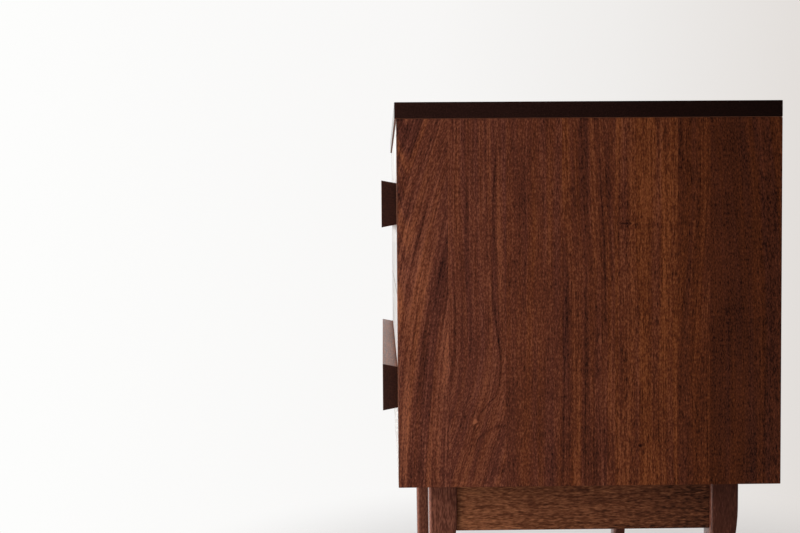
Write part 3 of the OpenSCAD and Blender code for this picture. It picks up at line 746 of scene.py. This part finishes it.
def sweep_mark(graph, across, up):
    """The curved line below the second board's knot."""
    dy = graph.math("SUBTRACT", across, SWEEP_TOP[0])
    course = graph.math("MULTIPLY_ADD", graph.math("MULTIPLY", dy, dy), SWEEP_BEND, SWEEP_TOP[1])
    line = stripe(graph, graph.math("SUBTRACT", up, course), 0.0, SWEEP_REACH)
    return graph.math("MULTIPLY", line, within(graph, across, *SWEEP_SPAN))


def cloud_mark(graph, across, up):
    """The dark cloud low on the second board."""
    away = graph.vector("DISTANCE", graph.join(across, up, 0.0), CLOUD_PLACE)
    return graph.math("MULTIPLY", graph.span(away, *CLOUD_REACH, 1, 0, smooth=True),
                      on_boards(graph, across, 2, 2))


def band_mark(graph, across, share, line):
    """The first board's dark band and its darker upper part."""
    band = graph.math("MULTIPLY", graph.span(line, *BAND_START),
                      graph.span(line, *BAND_END, 1, 0, smooth=True))
    band = graph.math("MULTIPLY", band, graph.span(share, *BAND_TOP, 1, 0, smooth=True))
    band = graph.math("ADD", band, graph.span(share, *UPPER_START, smooth=True))
    return graph.math("MULTIPLY", band, first_board(graph, across))


def board_marks(graph, across, up, share, line):
    """Single dark and light lines of the grain, as one change of tone."""
    lower, upper = (dark_line(graph, across, share, *values) for values in DARK_LINES)
    marks = [
        (graph.math("MAXIMUM", lower, upper), DARK_TONE),
        (band_mark(graph, across, share, line), BAND_TONE),
        (sweep_mark(graph, across, up), SWEEP_TONE),
        (cloud_mark(graph, across, up), CLOUD_TONE),
    ]
    for course, place, reach, soft, span, change in STRAIGHT_MARKS:
        value = {"grain": line, "height": up}[course]
        mark = graph.math("MULTIPLY", stripe(graph, value, place, reach, soft),
                          within(graph, across, *span))
        marks.append((mark, change))
    tone = 0.0
    for mark, change in marks:
        tone = graph.math("MULTIPLY_ADD", mark, change, tone)
    return tone


def board_tone(graph, across, up, layer_place):
    """The boards' tone, and what the colour and the relief need too: the broad and the fine noise
    and the pores."""
    share = graph.span(up, CASE_FOOT, CASE_FOOT + CASE_RISE)
    tone, stripes, pores = board_values(graph, across, TONE, STRIPES, PORES)
    line, folded, cores = board_lines(graph, across, up, share)
    layer = graph.math("MULTIPLY", graph.math("ADD", tone, layer_place), LAYER_STEP)
    broad = board_noise(graph, "broad", folded, up, layer)
    middle = board_noise(graph, "middle", line, up, layer)
    fine = board_noise(graph, "fine", line, up, layer)
    patch = board_noise(graph, "patch", across, up, layer)
    vein = stripe(graph, board_noise(graph, "veins", folded, up, layer), 0.5, VEIN_REACH)
    pit = graph.span(board_noise(graph, "dash", line, up, layer), *PIT_SPAN, 1, 0)
    swell = graph.math("ADD", centred(graph, broad, BROAD_TONE),
                       centred(graph, middle, MIDDLE_TONE))
    swell = graph.math("MULTIPLY_ADD", vein, VEIN_TONE, swell)
    value = graph.math("MULTIPLY_ADD", swell, stripes, tone)
    value = graph.math("ADD", value, centred(graph, fine, FINE_TONE))
    value = graph.math("ADD", value, centred(graph, patch, PATCH_TONE))
    value = graph.math("MULTIPLY_ADD", graph.math("MULTIPLY", pit, pores), PIT_TONE, value)
    value = graph.math("ADD", value, board_marks(graph, across, up, share, line))
    return graph.math("ADD", value, cores), broad, fine, pit


def board_wood(name, way):
    """Edge-glued upright boards: broad and fine stripes, pores, three pin knots. A way of -1
    puts the boards in the reverse order, from rear to front."""
    graph = new_material(name)
    x, y, z = graph.split(graph.place)
    across = graph.math("MULTIPLY", y, way)
    value, broad, fine, pit = board_tone(graph, across, z, x)
    edge = front_edge(graph)
    # Painted light: the panel's front edge lighter in tone, as if brightly lit from the front.
    value = graph.math("MULTIPLY_ADD", edge, EDGE_PAINTED_LIGHT, value)
    warmth = board_values(graph, across, WARMTH, WARMTH, WARMTH)[0]
    warmth = graph.math("ADD", warmth, centred(graph, broad, WARMTH_SWING), clamp=True)
    colour = graph.mix(warmth, tone_ramp(graph, value, COOL_BOARD),
                       tone_ramp(graph, value, WARM_BOARD))
    rough = graph.lerp(edge, graph.lerp(fine, *BOARD_ROUGHNESS), BOARD_EDGE_ROUGHNESS)
    height = graph.math("SUBTRACT", graph.math("MULTIPLY", fine, FIBRE_HEIGHT), pit)
    height = graph.math("MULTIPLY", height, graph.math("SUBTRACT", 1.0, edge))
    return finish_material(graph, colour, rough, height, BOARD_DEPTH,
                           Specular_IOR_Level=graph.lerp(edge, BOARD_LEVEL, BOARD_EDGE_LEVEL))


# Metal, lacquer, rubber and nylon

# Drawn lines of the metal in cells a metre across and along, its clouds in cells a metre, the
# level of its darker colour, the swing of its roughness, and the relief's depth in metres
METAL_CELLS = (2500, 25)
METAL_CLOUD_CELLS = 60
METAL_LEVEL = 0.86
METAL_ROUGHNESS = (-0.06, 0.08)
METAL_DEPTH = 0.00002

# White of the drawer fronts, darker and lighter, the walnut-brown painted shade on their edges
# for the dark gaps between the fronts, and the parts of a face's direction between which the
# painted shade passes into the white
LACQUER = (srgb(240, 236, 232), srgb(246, 243, 239))
PAINTED_GAP_SHADE = srgb(100, 66, 48)
FACE_TURN = (0.9, 0.97)
PEEL_CELLS = 420
LACQUER_CLOUD_CELLS = 9
LACQUER_ROUGHNESS = (0.32, 0.4)
LACQUER_LEVEL = 0.4
LACQUER_DEPTH = 0.00003

# Rubber and nylon
DULL_LEVEL = 0.7
DULL_ROUGHNESS = (0.5, 0.7)
DULL_DEPTH = 0.00005


def metal(name, axis, colour, roughness):
    """Plated steel with fine drawn lines along one axis."""
    graph = new_material(name)
    lines = graph.noise(stretched(graph, along(graph, axis), *METAL_CELLS), roughness=0.6)
    cloud = graph.noise(graph.place, METAL_CLOUD_CELLS, 3)
    share = graph.math("ADD", graph.math("MULTIPLY", lines, 0.5),
                       graph.math("MULTIPLY", cloud, 0.5))
    rough = graph.lerp(cloud, *(roughness + swing for swing in METAL_ROUGHNESS))
    return finish_material(graph, graph.mix(share, darker(colour, METAL_LEVEL), colour), rough,
                           lines, METAL_DEPTH, Metallic=1.0)


def lacquer(name):
    """White on the front and rear faces, and painted shade in walnut brown on the edges between
    them, for the dark gaps between the fronts.
    """
    graph = new_material(name)
    peel = graph.noise(graph.place, PEEL_CELLS)
    cloud = graph.noise(graph.place, LACQUER_CLOUD_CELLS, 3)
    face = graph.span(graph.math("ABSOLUTE", facing(graph)[1]), *FACE_TURN)
    # Painted shade: the edges are walnut brown so that the gaps between the fronts look dark.
    colour = graph.mix(face, PAINTED_GAP_SHADE, graph.mix(cloud, *LACQUER))
    return finish_material(graph, colour, graph.lerp(peel, *LACQUER_ROUGHNESS), peel,
                           LACQUER_DEPTH, Specular_IOR_Level=LACQUER_LEVEL)


def dull(name, colour, cells):
    """A matt dark material with specks. Cells are cells a metre."""
    graph = new_material(name)
    speck = graph.noise(graph.place, cells, 3)
    return finish_material(graph, graph.mix(speck, darker(colour, DULL_LEVEL), colour),
                           graph.lerp(speck, *DULL_ROUGHNESS), speck, DULL_DEPTH)


# The scene

make_camera()
make_world()
make_floor()
for lamp_values in LAMPS:
    make_lamp(*lamp_values)

levels = ("upper", "lower")
sides = ["side_panel_left", "side_panel_right"]
rails = ["top_rail_front", "top_rail_rear", "divider_rail"]
legs = ["leg_front_left", "leg_front_right", "leg_rear_left", "leg_rear_right"]
aprons = ["apron_front", "apron_rear", "apron_left", "apron_right"]
fronts = [f"{level}_front" for level in levels]
pulls = [f"{level}_pull" for level in levels]
box_sides = [f"{level}_box_{part}" for level in levels for part in ("left", "right")]
box_others = [f"{level}_box_{part}" for level in levels for part in ("front", "back", "bottom")]
slides = [f"{level}_{member}_slides" for level in levels for member in ("case", "mid", "drawer")]
cages = [f"{level}_ball_cages" for level in levels]
screws = ["case_slide_screws", "slab_screws", "back_screws", "base_screws"]
screws += [f"{level}_{use}_screws" for level in levels for use in ("slide", "front", "pull")]

eased = edge_group("eased_edges", eased_marks)
ease_edges(eased, 0.0010, sides)
ease_edges(eased, 0.0008, ["bottom_panel", "back_panel", "top_slab", "corner_blocks"])
ease_edges(eased, 0.0008, rails + aprons)
ease_edges(eased, 0.0006, fronts + box_sides + box_others)
ease_edges(eased, 0.0004, pulls)
ease_edges(eased, 0.0002, slides)
smooth_faces(edge_group("smooth_faces", sharp_marks),
             legs + screws + cages + ["case_dowels", "drawer_bumpers", "leg_glides"])

paint(board_wood("walnut_boards_right", 1), "side_panel_right")
paint(board_wood("walnut_boards_left", -1), "side_panel_left")
paint(plain_wood("walnut_upright", "Z", WALNUT), "back_panel")
paint(plain_wood("walnut_across", "X", WALNUT), "bottom_panel", *rails, "apron_front",
      "apron_rear")
# Legs: painted light raises the tone of their front faces, and painted shade darkens them towards
# the rear.
paint(plain_wood("walnut_legs", "Z", LEG_WALNUT, coarse=0.4, sheen=0.8, painted_front_light=0.33,
                 painted_falloff=(-0.14, 0.15, 0.12, -0.12)), *legs)
# Side aprons: painted light and shade, lighter at the front and darker towards the rear.
paint(plain_wood("walnut_aprons", "Y", APRON_WALNUT, coarse=0.75,
                 painted_falloff=(-0.13, 0.14, 0.18, -0.24)), "apron_left", "apron_right")
paint(plain_wood("walnut_pulls", "X", PULL_WALNUT, ends=0.9, roughness=0.36,
                 gloss=(-0.21, -0.195, 0.14, 0.0)), *pulls)
# Top slab: painted light and shade, lighter at the front and darker towards the rear.
paint(plain_wood("ebonised", "X", EBONY, coarse=0.7, ends=0.1, sheen=0.3,
                 painted_falloff=(-0.2, 0.2, 0.3, -0.35), under=(132, 84, 62)), "top_slab")
paint(plain_wood("maple_across", "X", MAPLE, coarse=0.4, ends=0.15), "case_dowels",
      "corner_blocks", *box_others)
paint(plain_wood("maple_deep", "Y", MAPLE, coarse=0.4, ends=0.15), *box_sides)
paint(metal("slide_steel", "Y", (0.62, 0.63, 0.65, 1), 0.34), *slides, *cages)
paint(metal("screw_zinc", "Z", (0.55, 0.54, 0.5, 1), 0.36), *screws)
paint(lacquer("white_lacquer"), *fronts)
paint(dull("bumper_rubber", (0.05, 0.05, 0.05, 1), 900), "drawer_bumpers")
paint(dull("glide_nylon", (0.012, 0.012, 0.012, 1), 1500), "leg_glides")

bpy.context.view_layer.update()
